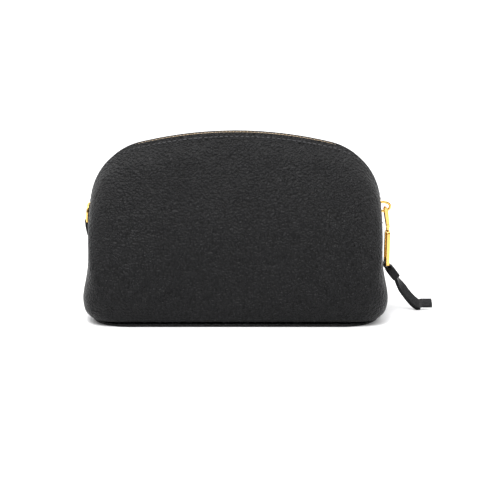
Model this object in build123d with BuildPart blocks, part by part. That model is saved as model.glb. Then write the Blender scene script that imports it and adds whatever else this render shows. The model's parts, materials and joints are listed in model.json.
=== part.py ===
"""Domed clam-shell makeup bag: two leather panels, a zipper over the dome, side tabs and a long pull.

Millimetres. X runs across the bag, Y from front to back, Z up. The origin is on the surface it stands on,
in the middle of the base. The zipper lies in the XZ plane and is closed, with its slider at the right end.
"""

import os
from math import atan2, cos, degrees, pi, radians, sin, sqrt

from build123d import *

# Overall size
WIDTH = 205.0
HEIGHT = 130.0
DEPTH = 85.0

# Outline of the dome
CROWN_RADIUS = 290.0
SHOULDER_RADIUS = 47.0
HEM_RADIUS = 12.0
HEM_SHARE = 0.35

# Leather, lining and the gaps between separate pieces
LEATHER = 1.4
LINING = 0.8
GAP = 0.3

# Base
BASE_WIDTH = 196.0
BASE_DEPTH = 82.0
BASE_CORNER = 25.0
BASE_THICKNESS = 2.2
BOARD_THICKNESS = 1.5
HEM_FLANGE = 8.0

# Zipper
BAND = 11.0
ZIP_BOTTOM = 68.0
TAPE_THICKNESS = 0.8
TAPE_EDGE = 1.1
TAPE_DROP = 1.1
TOOTH_THICKNESS = 2.4
TOOTH_DROP = 0.3
TOOTH_LENGTH = 1.05
TOOTH_OVERLAP = 0.9
TOOTH_BACK = 2.6
TOOTH_PITCH = 2.5
TOOTH_FIT = 0.05
STOP_LENGTH = 1.5

# Slider
SLIDER_LENGTH = 9.0
SLIDER_WIDTH = 6.8
SLIDER_PLATE = 1.0
SLIDER_CLEARANCE = 0.25
SLIDER_INNER_CLEARANCE = 0.35
SLIDER_FLANGE = 0.5
SLIDER_LIP = 0.8
POST_WIDTH = 1.6
POST_LENGTH = 2.4
BAIL_REACH = 6.2
BAIL_WIRE = 1.4
BAIL_WIDTH = 1.8

# Pull: link, rivet, frame
LINK_BAR = 0.8
LINK_WIDTH = 3.2
LINK_CHEEK = 1.0
LINK_LEAN = 2.0
LINK_LENGTH = 12.6
RIVET_RADIUS = 0.8
RIVET_HEAD_RADIUS = 1.3
RIVET_HEAD = 0.4
RUNNING_FIT = 0.05
FRAME_WIDTH = 10.0
FRAME_BAR = 1.2
FRAME_THICKNESS = 3.0
FRAME_LENGTH = 28.5
LUG_LENGTH = 3.5
CROSSBAR_RADIUS = 1.2

# Pull strap and its keeper
STRAP_WIDTH = 7.2
STRAP_PLY = 1.3
STRAP_ANGLE = 52.0
STRAP_TURN = 12.0
STRAP_DROOP = 3.0
STRAP_TAIL = 7.0
KEEPER_LENGTH = 9.0
KEEPER_START = 2.9
KEEPER_WALL = 0.9
KEEPER_FIT = 0.1

# Side tabs and the ring
TAB_WIDTH = 8.4
TAB_PLY = 1.25
TAB_BOTTOM = 32.0
TAB_TOP = 66.5
RING_WIRE = 1.1
RING_WIDTH = 10.0
RING_HEIGHT = 12.0
RING_LEAN = 4.0
RING_FOOT = 1.8

# Slip pocket on the rear lining
POCKET_WIDTH = 90.0
POCKET_BOTTOM = 12.0
POCKET_TOP = 58.0

HALF_WIDTH = WIDTH / 2
HALF_DEPTH = DEPTH / 2
HALF_BAND = BAND / 2
PANEL_BOTTOM = BASE_THICKNESS + GAP
CROWN_Z = HEIGHT - CROWN_RADIUS
SHOULDER_X = HALF_WIDTH - SHOULDER_RADIUS
SHOULDER_Z = CROWN_Z + sqrt((CROWN_RADIUS - SHOULDER_RADIUS) ** 2 - SHOULDER_X**2)
SHOULDER_SWEEP = atan2(SHOULDER_Z - CROWN_Z, SHOULDER_X)

# Slices of a panel from its rim to its belly, as shares of the overall size:
# distance from the middle plane, half width, top, and height of the hem above the base seam
SLICES = (
    (HALF_BAND, 1.0, 1.0, 0.0),
    (0.33 * HALF_DEPTH, 0.993, 0.91, 0.0),
    (0.565 * HALF_DEPTH, 0.971, 0.75, 0.0),
    (0.80 * HALF_DEPTH, 0.917, 0.51, 0.0),
    (0.94 * HALF_DEPTH, 0.839, 0.29, 0.008),
    (HALF_DEPTH, 0.722, 0.17, 0.035),
)


def dome(half_width, bottom, top, crown, shoulder, hem, inset):
    """Draw a dome's closed outline in the open line builder: crown, shoulder and hem arcs meet on tangents.

    The inset moves every side in by the same distance.
    """
    centre_x = half_width - shoulder
    centre_z = top - crown + sqrt((crown - shoulder) ** 2 - centre_x**2)
    sweep = atan2(centre_z - top + crown, centre_x)
    side = half_width - inset
    floor = bottom + inset
    hem_in = hem - inset
    hem_x = side - hem_in
    hem_z = floor + hem_in
    meet_x = (crown - inset) * cos(sweep)
    meet_z = top - crown + (crown - inset) * sin(sweep)
    bulge_x = centre_x + (shoulder - inset) * cos(sweep / 2)
    bulge_z = centre_z + (shoulder - inset) * sin(sweep / 2)
    turn_x = hem_x + hem_in * sqrt(0.5)
    turn_z = hem_z - hem_in * sqrt(0.5)
    Line((-hem_x, floor), (hem_x, floor))
    ThreePointArc((hem_x, floor), (turn_x, turn_z), (side, hem_z))
    Line((side, hem_z), (side, centre_z))
    ThreePointArc((side, centre_z), (bulge_x, bulge_z), (meet_x, meet_z))
    ThreePointArc((meet_x, meet_z), (0, top - inset), (-meet_x, meet_z))
    ThreePointArc((-meet_x, meet_z), (-bulge_x, bulge_z), (-side, centre_z))
    Line((-side, centre_z), (-side, hem_z))
    ThreePointArc((-side, hem_z), (-turn_x, turn_z), (-hem_x, floor))


def slice_sketch(y, half_width, bottom, top, inset):
    """One dome-shaped slice of the bag, parallel to the zipper's plane."""
    share = (top - bottom) / (HEIGHT - PANEL_BOTTOM)
    crown = CROWN_RADIUS * (half_width / HALF_WIDTH) ** 2 / share
    hem = min(HEM_RADIUS, HEM_SHARE * (top - bottom))
    with BuildSketch(Plane.XZ.offset(y)) as face:
        with BuildLine():
            dome(half_width, bottom, top, crown, SHOULDER_RADIUS * share, hem, inset)
        make_face()
    return face.sketch


def front_half(inset, start=HALF_BAND):
    """The front half of the bag as a solid, its faces moved in by the inset, from the start plane on.

    The first slice lies on the moved face too: it is the blend of the first two slices at the start plane.
    """
    first, second = SLICES[:2]
    share = (start - first[0] + inset) / (second[0] - first[0])
    blend = [near + share * (far - near) for near, far in zip(first, second)]
    faces = []
    for y, wide, tall, lift in (blend, *SLICES[1:]):
        bottom = PANEL_BOTTOM + lift * HEIGHT
        faces.append(slice_sketch(y - inset, wide * HALF_WIDTH, bottom, tall * HEIGHT, inset))
    return loft(sections=faces, ruled=True, mode=Mode.PRIVATE)


def base_opening(reach):
    """The opening that the base leaves in the panels, from the middle plane to the front hem."""
    long_side = BASE_WIDTH - 2 * (HEM_RADIUS + HEM_FLANGE / 2)
    deep_side = BASE_DEPTH / 2 - HEM_FLANGE
    with BuildPart() as opening:
        with Locations((0, 0, PANEL_BOTTOM)):
            Box(long_side, 2 * deep_side, 2 * reach)
    return opening.part


def dome_ring(outer_inset, inner_inset, low, high):
    """A strip that follows the dome's outline between two heights, as a flat sketch."""
    with BuildSketch() as ring:
        with BuildLine():
            dome(HALF_WIDTH, PANEL_BOTTOM, HEIGHT, CROWN_RADIUS, SHOULDER_RADIUS, HEM_RADIUS, outer_inset)
        make_face()
        with BuildLine():
            dome(HALF_WIDTH, PANEL_BOTTOM, HEIGHT, CROWN_RADIUS, SHOULDER_RADIUS, HEM_RADIUS, inner_inset)
        make_face(mode=Mode.SUBTRACT)
        with Locations((0, (low + high) / 2)):
            Rectangle(2 * WIDTH, high - low, mode=Mode.INTERSECT)
    return ring.sketch


def along_dome(travel, inset):
    """Place and turn on the rim at a distance along it from the right end of the zipper's straight part."""
    shoulder_length = SHOULDER_RADIUS * SHOULDER_SWEEP
    crown_length = 2 * CROWN_RADIUS * (pi / 2 - SHOULDER_SWEEP)
    if travel < 0:
        return HALF_WIDTH - inset, SHOULDER_Z + travel, 0.0
    if travel < shoulder_length:
        turn = travel / SHOULDER_RADIUS
        reach = SHOULDER_RADIUS - inset
        return SHOULDER_X + reach * cos(turn), SHOULDER_Z + reach * sin(turn), turn
    if travel < shoulder_length + crown_length:
        turn = SHOULDER_SWEEP + (travel - shoulder_length) / CROWN_RADIUS
        reach = CROWN_RADIUS - inset
        return reach * cos(turn), CROWN_Z + reach * sin(turn), turn
    rest = 2 * shoulder_length + crown_length - travel
    x, z, turn = along_dome(rest, inset)
    return -x, z, pi - turn


def save(part, label):
    part.label = label
    export_step(part, f"parts/{label}.step")


os.makedirs("parts", exist_ok=True)

# Leather panels: a thin shell whose hem turns in under the bag
with BuildPart() as front_panel:
    add(front_half(0))
    add(front_half(LEATHER, HALF_BAND - GAP), mode=Mode.SUBTRACT)
    add(base_opening(3 * LEATHER), mode=Mode.SUBTRACT)
save(front_panel.part, "front_panel")

with BuildPart() as rear_panel:
    add(mirror(front_panel.part, about=Plane.XZ, mode=Mode.PRIVATE))
save(rear_panel.part, "rear_panel")

# Linings, a gap inside the leather
LINING_OUT = LEATHER + GAP
LINING_IN = LINING_OUT + LINING
with BuildPart() as front_lining:
    add(front_half(LINING_OUT))
    add(front_half(LINING_IN, HALF_BAND - GAP), mode=Mode.SUBTRACT)
    add(base_opening(3 * LINING_IN), mode=Mode.SUBTRACT)
save(front_lining.part, "front_lining")

with BuildPart() as rear_lining:
    add(mirror(front_lining.part, about=Plane.XZ, mode=Mode.PRIVATE))
save(rear_lining.part, "rear_lining")

# Slip pocket that follows the rear lining
with BuildPart() as inner_pocket:
    add(mirror(front_half(LINING_IN + GAP), about=Plane.XZ, mode=Mode.PRIVATE))
    inside = mirror(front_half(LINING_IN + GAP + LINING, HALF_BAND - GAP), about=Plane.XZ, mode=Mode.PRIVATE)
    add(inside, mode=Mode.SUBTRACT)
    with Locations((0, HALF_DEPTH, (POCKET_BOTTOM + POCKET_TOP) / 2)):
        Box(POCKET_WIDTH, DEPTH, POCKET_TOP - POCKET_BOTTOM, mode=Mode.INTERSECT)
save(inner_pocket.part, "inner_pocket")

# Gussets and their linings, below the two ends of the zipper
GUSSET_HALF = HALF_BAND - GAP
GUSSET_TOP = ZIP_BOTTOM - GAP
LINING_BOTTOM = PANEL_BOTTOM + LEATHER + GAP
for side, name in ((-1, "left"), (1, "right")):
    with BuildPart() as gusset:
        with BuildSketch(Plane.XZ):
            with Locations((side * (HALF_WIDTH - LEATHER / 2), (PANEL_BOTTOM + GUSSET_TOP) / 2)):
                Rectangle(LEATHER, GUSSET_TOP - PANEL_BOTTOM)
        extrude(amount=GUSSET_HALF, both=True)
    save(gusset.part, f"{name}_gusset")
    with BuildPart() as gusset_lining:
        with BuildSketch(Plane.XZ):
            middle = HALF_WIDTH - LINING_OUT - LINING / 2
            with Locations((side * middle, (LINING_BOTTOM + GUSSET_TOP) / 2)):
                Rectangle(LINING, GUSSET_TOP - LINING_BOTTOM)
        extrude(amount=GUSSET_HALF, both=True)
    save(gusset_lining.part, f"{name}_gusset_lining")

# Base: the leather that the bag stands on, its stiffening board and its lining
with BuildPart() as base_panel:
    with BuildSketch():
        RectangleRounded(BASE_WIDTH, BASE_DEPTH, BASE_CORNER)
    extrude(amount=BASE_THICKNESS)
save(base_panel.part, "base_panel")

OPENING = base_opening(LEATHER).bounding_box().size
with BuildPart() as base_board:
    with BuildSketch(Plane.XY.offset(PANEL_BOTTOM)):
        Rectangle(OPENING.X - 2 * GAP, OPENING.Y - 2 * GAP)
    extrude(amount=BOARD_THICKNESS)
save(base_board.part, "base_board")

with BuildPart() as base_lining:
    with BuildSketch(Plane.XY.offset(PANEL_BOTTOM + BOARD_THICKNESS + GAP)):
        Rectangle(OPENING.X - 2 * GAP, OPENING.Y - 2 * GAP)
    extrude(amount=LINING)
save(base_lining.part, "base_lining")

# Zipper tapes, one on each side of the middle plane
TAPE_HALF = HALF_BAND - GAP
for side, name in ((1, "front"), (-1, "rear")):
    with BuildPart() as tape:
        with BuildSketch(Plane.XZ.offset(side * TAPE_EDGE)):
            add(dome_ring(TAPE_DROP, TAPE_DROP + TAPE_THICKNESS, ZIP_BOTTOM, HEIGHT))
        extrude(amount=side * (TAPE_HALF - TAPE_EDGE))
    save(tape.part, f"{name}_zip_tape")

# Teeth: each grips the edge of its tape and reaches past the middle plane
TOOTH_MIDDLE = TOOTH_DROP + TOOTH_THICKNESS / 2
CHAIN_LENGTH = 2 * SHOULDER_RADIUS * SHOULDER_SWEEP + 2 * CROWN_RADIUS * (pi / 2 - SHOULDER_SWEEP)
for side, name, shift in ((-1, "front", 0.0), (1, "rear", TOOTH_PITCH / 2)):
    with BuildPart() as tooth:
        reach = TOOTH_BACK + TOOTH_OVERLAP
        with Locations((0, side * (TOOTH_BACK - reach / 2), 0)):
            Box(TOOTH_THICKNESS, reach, TOOTH_LENGTH)
        with Locations((0, side * (TAPE_EDGE - TOOTH_FIT + TOOTH_BACK / 2), 0)):
            Box(TAPE_THICKNESS + 2 * TOOTH_FIT, TOOTH_BACK, TOOTH_PITCH, mode=Mode.SUBTRACT)
    count = int((CHAIN_LENGTH + SLIDER_LENGTH / 4) / TOOTH_PITCH)
    places = []
    for number in range(count):
        x, z, turn = along_dome(shift + number * TOOTH_PITCH, TOOTH_MIDDLE)
        places.append(Location((x, 0, z), (0, -degrees(turn), 0)))
    with BuildPart() as teeth:
        with Locations(*places):
            add(tooth.part)
    save(teeth.part, f"{name}_zip_teeth")

# Stops at the two ends of the chain
with BuildPart() as left_zip_stop:
    with BuildSketch(Plane.XY.offset(ZIP_BOTTOM + STOP_LENGTH)):
        with Locations((-(HALF_WIDTH - TOOTH_MIDDLE), 0)):
            Rectangle(TOOTH_THICKNESS, 2 * TOOTH_BACK)
            for side in (-1, 1):
                with Locations((0, side * (TAPE_EDGE - TOOTH_FIT + TOOTH_BACK / 2))):
                    Rectangle(TAPE_THICKNESS + 2 * TOOTH_FIT, TOOTH_BACK, mode=Mode.SUBTRACT)
    extrude(amount=2 * STOP_LENGTH)
save(left_zip_stop.part, "left_zip_stop")

SLIDER_BOTTOM = SHOULDER_Z - SLIDER_LENGTH / 2
with BuildPart() as right_zip_stops:
    with BuildSketch(Plane.XY.offset(SLIDER_BOTTOM - GAP)):
        for side in (-1, 1):
            with Locations((HALF_WIDTH - TOOTH_MIDDLE, side * (TAPE_EDGE + TOOTH_BACK) / 2)):
                Rectangle(TOOTH_THICKNESS, TOOTH_BACK - TAPE_EDGE + 2 * GAP)
            with Locations((HALF_WIDTH - TOOTH_MIDDLE, side * (TAPE_EDGE - TOOTH_FIT + TOOTH_BACK / 2))):
                Rectangle(TAPE_THICKNESS + 2 * TOOTH_FIT, TOOTH_BACK, mode=Mode.SUBTRACT)
    extrude(amount=-STOP_LENGTH)
save(right_zip_stops.part, "right_zip_stops")

# Slider: two plates joined by a post, with flanges that hold the teeth in
TOP_INNER = HALF_WIDTH - TOOTH_DROP + SLIDER_CLEARANCE
TOP_OUTER = TOP_INNER + SLIDER_PLATE
BOTTOM_INNER = HALF_WIDTH - TOOTH_DROP - TOOTH_THICKNESS - SLIDER_INNER_CLEARANCE
BOTTOM_OUTER = BOTTOM_INNER - SLIDER_PLATE
with BuildPart() as slider_body:
    with BuildSketch(Plane.XY.offset(SLIDER_BOTTOM)):
        with Locations(((TOP_INNER + TOP_OUTER) / 2, 0), ((BOTTOM_INNER + BOTTOM_OUTER) / 2, 0)):
            Rectangle(SLIDER_PLATE, SLIDER_WIDTH)
        for side in (-1, 1):
            edge = side * (SLIDER_WIDTH - SLIDER_FLANGE) / 2
            with Locations((TOP_INNER - SLIDER_LIP / 2, edge), (BOTTOM_INNER + SLIDER_LIP / 2, edge)):
                Rectangle(SLIDER_LIP, SLIDER_FLANGE)
    extrude(amount=SLIDER_LENGTH)
    with BuildSketch(Plane.XY.offset(SLIDER_BOTTOM)):
        with Locations(((TOP_INNER + BOTTOM_INNER) / 2, 0)):
            Rectangle(TOP_INNER - BOTTOM_INNER, POST_WIDTH)
    extrude(amount=POST_LENGTH)
save(slider_body.part, "slider_body")

# Bail: the arch on the slider that the pull hangs from
BAIL_OUTER = TOP_OUTER + BAIL_REACH
with BuildPart() as slider_bail:
    with BuildSketch(Plane.XZ):
        with Locations((TOP_OUTER + BAIL_REACH / 2, SHOULDER_Z)):
            Rectangle(BAIL_REACH, SLIDER_LENGTH - 2 * GAP)
            with Locations((-BAIL_WIRE / 2, 0)):
                Rectangle(BAIL_REACH - BAIL_WIRE, SLIDER_LENGTH - 2 * GAP - 2 * BAIL_WIRE, mode=Mode.SUBTRACT)
    extrude(amount=BAIL_WIDTH / 2, both=True)
    fillet(slider_bail.edges().filter_by(Axis.Y).group_by(Axis.X)[-1], 2 * BAIL_WIRE)
save(slider_bail.part, "slider_bail")

# Link: two cheeks on a bar through the bail, joined to the frame by a rivet
BAR_X = BAIL_OUTER - BAIL_WIRE - LINK_BAR - GAP
BAR_Z = SHOULDER_Z - SLIDER_LENGTH / 2 + GAP + BAIL_WIRE + LINK_BAR + GAP
RIVET_X = BAR_X + LINK_LEAN
RIVET_Z = BAR_Z - sqrt(LINK_LENGTH**2 - LINK_LEAN**2)
CHEEK_INNER = BAIL_WIDTH / 2 + GAP
CHEEK_OUTER = CHEEK_INNER + LINK_CHEEK
LINK_TURN = degrees(atan2(RIVET_Z - BAR_Z, RIVET_X - BAR_X))
with BuildPart() as pull_link:
    for side in (-1, 1):
        with BuildSketch(Plane.XZ.offset(side * CHEEK_INNER)):
            with Locations(Location(((BAR_X + RIVET_X) / 2, (BAR_Z + RIVET_Z) / 2, 0), (0, 0, LINK_TURN))):
                SlotCenterToCenter(LINK_LENGTH, LINK_WIDTH)
            with Locations((RIVET_X, RIVET_Z)):
                Circle(RIVET_RADIUS, mode=Mode.SUBTRACT)
        extrude(amount=side * LINK_CHEEK)
    with BuildSketch(Plane.XZ):
        with Locations((BAR_X, BAR_Z)):
            Circle(LINK_BAR)
    extrude(amount=CHEEK_INNER, both=True)
save(pull_link.part, "pull_link")

with BuildPart() as pull_rivet:
    with BuildSketch(Plane.XZ):
        with Locations((RIVET_X, RIVET_Z)):
            Circle(RIVET_RADIUS)
    extrude(amount=CHEEK_OUTER, both=True)
    for side in (-1, 1):
        with BuildSketch(Plane.XZ.offset(side * CHEEK_OUTER)):
            with Locations((RIVET_X, RIVET_Z)):
                Circle(RIVET_HEAD_RADIUS)
        extrude(amount=side * RIVET_HEAD)
save(pull_rivet.part, "pull_rivet")

# Frame: a long loop below the rivet, its lower crossbar round for the strap
FRAME_X = RIVET_X
FRAME_TOP = RIVET_Z - LUG_LENGTH
CROSSBAR_Z = RIVET_Z - FRAME_LENGTH
LUG_HALF = CHEEK_INNER - GAP
with BuildPart() as pull_frame:
    with BuildSketch(Plane.YZ.offset(FRAME_X)):
        with Locations((0, (FRAME_TOP + CROSSBAR_Z) / 2)):
            Rectangle(FRAME_WIDTH, FRAME_TOP - CROSSBAR_Z)
            Rectangle(FRAME_WIDTH - 2 * FRAME_BAR, FRAME_TOP - CROSSBAR_Z + 2 * FRAME_BAR, mode=Mode.SUBTRACT)
        with Locations((0, FRAME_TOP - FRAME_BAR / 2)):
            Rectangle(FRAME_WIDTH, FRAME_BAR)
    extrude(amount=FRAME_THICKNESS / 2, both=True)
    for side in (-1, 1):
        with BuildSketch(Plane.XZ.offset(side * (FRAME_WIDTH / 2 - FRAME_BAR))):
            with Locations((FRAME_X, CROSSBAR_Z)):
                Circle(FRAME_THICKNESS / 2)
        extrude(amount=side * FRAME_BAR)
    with BuildSketch(Plane.XZ):
        with Locations((FRAME_X, CROSSBAR_Z)):
            Circle(CROSSBAR_RADIUS)
    extrude(amount=FRAME_WIDTH / 2 - FRAME_BAR, both=True)
    with BuildSketch(Plane.XZ):
        with Locations((FRAME_X, RIVET_Z)):
            Circle(LINK_WIDTH / 2 - GAP)
        with Locations((FRAME_X, (RIVET_Z + FRAME_TOP) / 2)):
            Rectangle(LINK_WIDTH - 2 * GAP, RIVET_Z - FRAME_TOP)
        with Locations((FRAME_X, RIVET_Z)):
            Circle(RIVET_RADIUS + RUNNING_FIT, mode=Mode.SUBTRACT)
    extrude(amount=LUG_HALF, both=True)
save(pull_frame.part, "pull_frame")

# Strap: two plies folded round the crossbar that run down to the surface and rest on it
EYE = CROSSBAR_RADIUS + RUNNING_FIT
FLOOR_LINE = STRAP_PLY + GAP
SLOPE = radians(STRAP_ANGLE)
BEND = (FRAME_X + STRAP_TURN * cos(SLOPE), CROSSBAR_Z - STRAP_TURN * sin(SLOPE))
LOW_ANGLE = radians(STRAP_ANGLE - STRAP_DROOP)
TOUCH = (BEND[0] + (BEND[1] - FLOOR_LINE) / sin(LOW_ANGLE) * cos(LOW_ANGLE), FLOOR_LINE)
TAIL_END = (TOUCH[0] + STRAP_TAIL, FLOOR_LINE)
EYE_EXIT = (FRAME_X + (EYE + STRAP_PLY / 2) * cos(SLOPE), CROSSBAR_Z - (EYE + STRAP_PLY / 2) * sin(SLOPE))
with BuildPart() as pull_strap:
    with BuildSketch(Plane.XZ):
        with Locations((FRAME_X, CROSSBAR_Z)):
            Circle(EYE + STRAP_PLY)
        with BuildLine():
            FilletPolyline(EYE_EXIT, BEND, TOUCH, TAIL_END, radius=STRAP_TAIL * 0.9)
        trace(line_width=2 * STRAP_PLY)
        with Locations((FRAME_X, CROSSBAR_Z)):
            Circle(EYE, mode=Mode.SUBTRACT)
    extrude(amount=STRAP_WIDTH / 2, both=True)
save(pull_strap.part, "pull_strap")

# Keeper: the leather band round both plies, just below the crossbar
KEEPER_MIDDLE = KEEPER_START + KEEPER_LENGTH / 2
KEEPER_X = FRAME_X + KEEPER_MIDDLE * cos(SLOPE)
KEEPER_Z = CROSSBAR_Z - KEEPER_MIDDLE * sin(SLOPE)
KEEPER_INNER = 2 * STRAP_PLY + 2 * KEEPER_FIT
with BuildPart() as strap_keeper:
    with Locations(Location((KEEPER_X, 0, KEEPER_Z), (0, STRAP_ANGLE, 0))):
        Box(KEEPER_LENGTH, STRAP_WIDTH + 2 * (KEEPER_FIT + KEEPER_WALL), KEEPER_INNER + 2 * KEEPER_WALL)
        Box(2 * KEEPER_LENGTH, STRAP_WIDTH + 2 * KEEPER_FIT, KEEPER_INNER, mode=Mode.SUBTRACT)
save(strap_keeper.part, "strap_keeper")

# Tabs: the left one is folded round the bar of the ring, the right one is plain
TAB_THICKNESS = 2 * TAB_PLY
LOOP_RADIUS = RING_WIRE + RUNNING_FIT + TAB_PLY
LOOP_X = HALF_WIDTH + GAP + LOOP_RADIUS
for side, name in ((-1, "left"), (1, "right")):
    with BuildPart() as tab:
        with BuildSketch(Plane.XZ):
            with Locations((side * (HALF_WIDTH + GAP + TAB_THICKNESS / 2), (TAB_TOP + TAB_BOTTOM) / 2)):
                Rectangle(TAB_THICKNESS, TAB_TOP - TAB_BOTTOM)
            if side < 0:
                with Locations((-LOOP_X, TAB_TOP)):
                    Circle(LOOP_RADIUS)
                    Circle(RING_WIRE + RUNNING_FIT, mode=Mode.SUBTRACT)
        extrude(amount=TAB_WIDTH / 2, both=True)
    save(tab.part, f"{name}_tab")

# Ring: a D of round wire whose straight bar turns in the left tab
RING_PLANE = Plane(
    origin=(-LOOP_X, 0, TAB_TOP),
    x_dir=(0, 1, 0),
    z_dir=(cos(radians(RING_LEAN)), 0, -sin(radians(RING_LEAN))),
)
RING_HALF = RING_WIDTH / 2 + RING_WIRE
with BuildPart() as left_ring:
    with BuildLine(RING_PLANE) as ring_path:
        for side in (1, -1):
            FilletPolyline(
                (0, 0),
                (side * RING_HALF, 0),
                (side * RING_HALF, RING_HEIGHT),
                (0, RING_HEIGHT),
                radius=(RING_FOOT, RING_HALF * 0.9),
            )
    with BuildSketch(Plane(origin=RING_PLANE.origin, z_dir=(0, 1, 0))):
        Circle(RING_WIRE)
    sweep()
save(left_ring.part, "left_ring")

print("shoulder centre", SHOULDER_X, SHOULDER_Z)
print("link bar", BAR_X, BAR_Z, "rivet", RIVET_X, RIVET_Z, "crossbar", FRAME_X, CROSSBAR_Z)
print("tab loop", -LOOP_X, TAB_TOP, "strap end", TAIL_END, "opening", OPENING)
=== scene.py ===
"""Looks of a domed leather makeup bag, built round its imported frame. Metres, X across, Y back, Z up."""

import json
import math

import bmesh
import bpy
import numpy as np
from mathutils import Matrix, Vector


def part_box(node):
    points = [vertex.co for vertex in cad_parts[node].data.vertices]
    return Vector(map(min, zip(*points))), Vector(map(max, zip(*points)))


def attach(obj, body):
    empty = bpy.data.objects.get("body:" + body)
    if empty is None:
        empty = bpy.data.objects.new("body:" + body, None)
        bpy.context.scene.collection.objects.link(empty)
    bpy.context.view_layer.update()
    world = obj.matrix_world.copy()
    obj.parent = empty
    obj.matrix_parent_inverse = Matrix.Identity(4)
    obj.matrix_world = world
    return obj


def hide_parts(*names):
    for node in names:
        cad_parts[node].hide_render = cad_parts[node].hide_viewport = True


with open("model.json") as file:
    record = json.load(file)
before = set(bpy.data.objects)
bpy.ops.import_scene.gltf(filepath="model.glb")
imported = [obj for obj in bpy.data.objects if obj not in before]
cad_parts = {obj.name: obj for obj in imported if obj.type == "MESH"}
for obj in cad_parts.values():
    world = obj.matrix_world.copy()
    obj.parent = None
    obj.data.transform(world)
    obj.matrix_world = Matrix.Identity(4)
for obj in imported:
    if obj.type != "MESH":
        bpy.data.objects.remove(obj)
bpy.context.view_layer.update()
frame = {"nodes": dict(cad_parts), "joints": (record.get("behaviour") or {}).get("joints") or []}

MM = 0.001
JOINTS = {joint["name"]: joint for joint in frame["joints"]}
PANEL_LOW, PANEL_HIGH = (np.array(corner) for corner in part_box("front_panel"))
BASE_LOW, BASE_HIGH = (np.array(corner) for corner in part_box("base_panel"))
GUSSET_LOW, GUSSET_HIGH = (np.array(corner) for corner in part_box("right_gusset"))
CROSSBAR = np.array(JOINTS["strap_swing"]["pos_m"])
RING_BAR = np.array(JOINTS["ring_swing"]["pos_m"])

# Shape of the bag, from the frame
HALF_WIDTH = PANEL_HIGH[0]
HEIGHT = PANEL_HIGH[2] + 0.2 * MM
BOTTOM = PANEL_LOW[2]
RIM_Y = abs(PANEL_HIGH[1])
BELLY_Y = -PANEL_LOW[1]

# Arcs of the dome's outline, the turned edge of a panel and the depth of its lip
CROWN_RADIUS = 290 * MM
SHOULDER_RADIUS = 45 * MM
HEM_RADIUS = 7.5 * MM
EDGE_RADIUS = 0.8 * MM
LIP = 3 * MM

# Belly of a panel: its height, width and lift as shares, and how far the leather fills out
BELLY_TOP = 0.17
BELLY_WIDTH = 0.80
BELLY_LIFT = 0.010
FULLNESS = 2.0 * MM

# Flare of the sides near the bottom: a share of the half width, its height and its reach
FLARE = 0.045
FLARE_HEIGHT = 16 * MM
FLARE_REACH = 17 * MM

# Base: how far its edge stands out past the frame's, and its corner radius
BASE_GROW = 3.4 * MM
BASE_CORNER = 27 * MM

# Points along each stretch of the dome's outline: bottom, hem, side, shoulder, crown and back down
STRETCHES = (44, 12, 30, 44, 90, 44, 30, 12)

# Leather, stitches and metal
TAB_PLY = 1.2 * MM
STRAP_PLY = 1.3 * MM
STRAP_SLOPE = math.radians(52)
BAIL_WIRE = 1.9 * MM
CHEEK = 1.0 * MM


# ---------------------------------------------------------------- meshes


def mesh_object(name, points, faces, smooth=True):
    """A mesh object from an array of points and an array of face corners."""
    mesh = bpy.data.meshes.new(name)
    mesh.from_pydata(points.tolist(), [], faces.tolist())
    mesh.validate()
    mesh.polygons.foreach_set("use_smooth", np.full(len(mesh.polygons), smooth))
    mesh.update()
    piece = bpy.data.objects.new(name, mesh)
    bpy.context.scene.collection.objects.link(piece)
    return piece


def grid_faces(rows, columns):
    """Quads of a grid of rows by columns, joined round the columns."""
    row, column = np.meshgrid(np.arange(rows - 1), np.arange(columns), indexing="ij")
    after = (column + 1) % columns
    here = row * columns
    above = here + columns
    return np.stack([here + column, here + after, above + after, above + column], axis=-1).reshape(-1, 4)


def grid_object(name, points):
    """A grid of points as a smooth surface, doubled points welded and its faces turned outwards."""
    piece = mesh_object(name, points.reshape(-1, 3), grid_faces(*points.shape[:2]))
    work = bmesh.new()
    work.from_mesh(piece.data)
    bmesh.ops.remove_doubles(work, verts=work.verts, dist=1e-6)
    bmesh.ops.recalc_face_normals(work, faces=work.faces)
    work.to_mesh(piece.data)
    work.free()
    piece.data.polygons.foreach_set("use_smooth", np.full(len(piece.data.polygons), True))
    return piece


def join_grids(name, grids):
    """Many small grids of the same size as one mesh."""
    count, rows, columns = grids.shape[:3]
    starts = np.arange(count) * rows * columns
    faces = (grid_faces(rows, columns)[None] + starts[:, None, None]).reshape(-1, 4)
    return mesh_object(name, grids.reshape(-1, 3), faces)


def finish_piece(piece, body, slot, material, *nodes):
    """The piece rides on a body, wears a material and stands for the CAD nodes named."""
    piece.data.materials.append(material)
    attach(piece, body)
    if nodes:
        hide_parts(*nodes)
    return piece


# ---------------------------------------------------------------- shapes


def arc(centre_x, centre_z, radius, start, end, count):
    """Points of an arc, without its end: centre plus radius times (cos, sin) of an angle that runs evenly."""
    angle = start + (end - start) * np.linspace(0, 1, count, endpoint=False)[None, :]
    return np.stack([centre_x + radius * np.cos(angle), centre_z + radius * np.sin(angle)], axis=-1)


def straight(x0, z0, x1, z1, count):
    """Points of a straight line, without its end."""
    share = np.linspace(0, 1, count, endpoint=False)[None, :]
    return np.stack([x0 + (x1 - x0) * share, z0 + (z1 - z0) * share], axis=-1)


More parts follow.
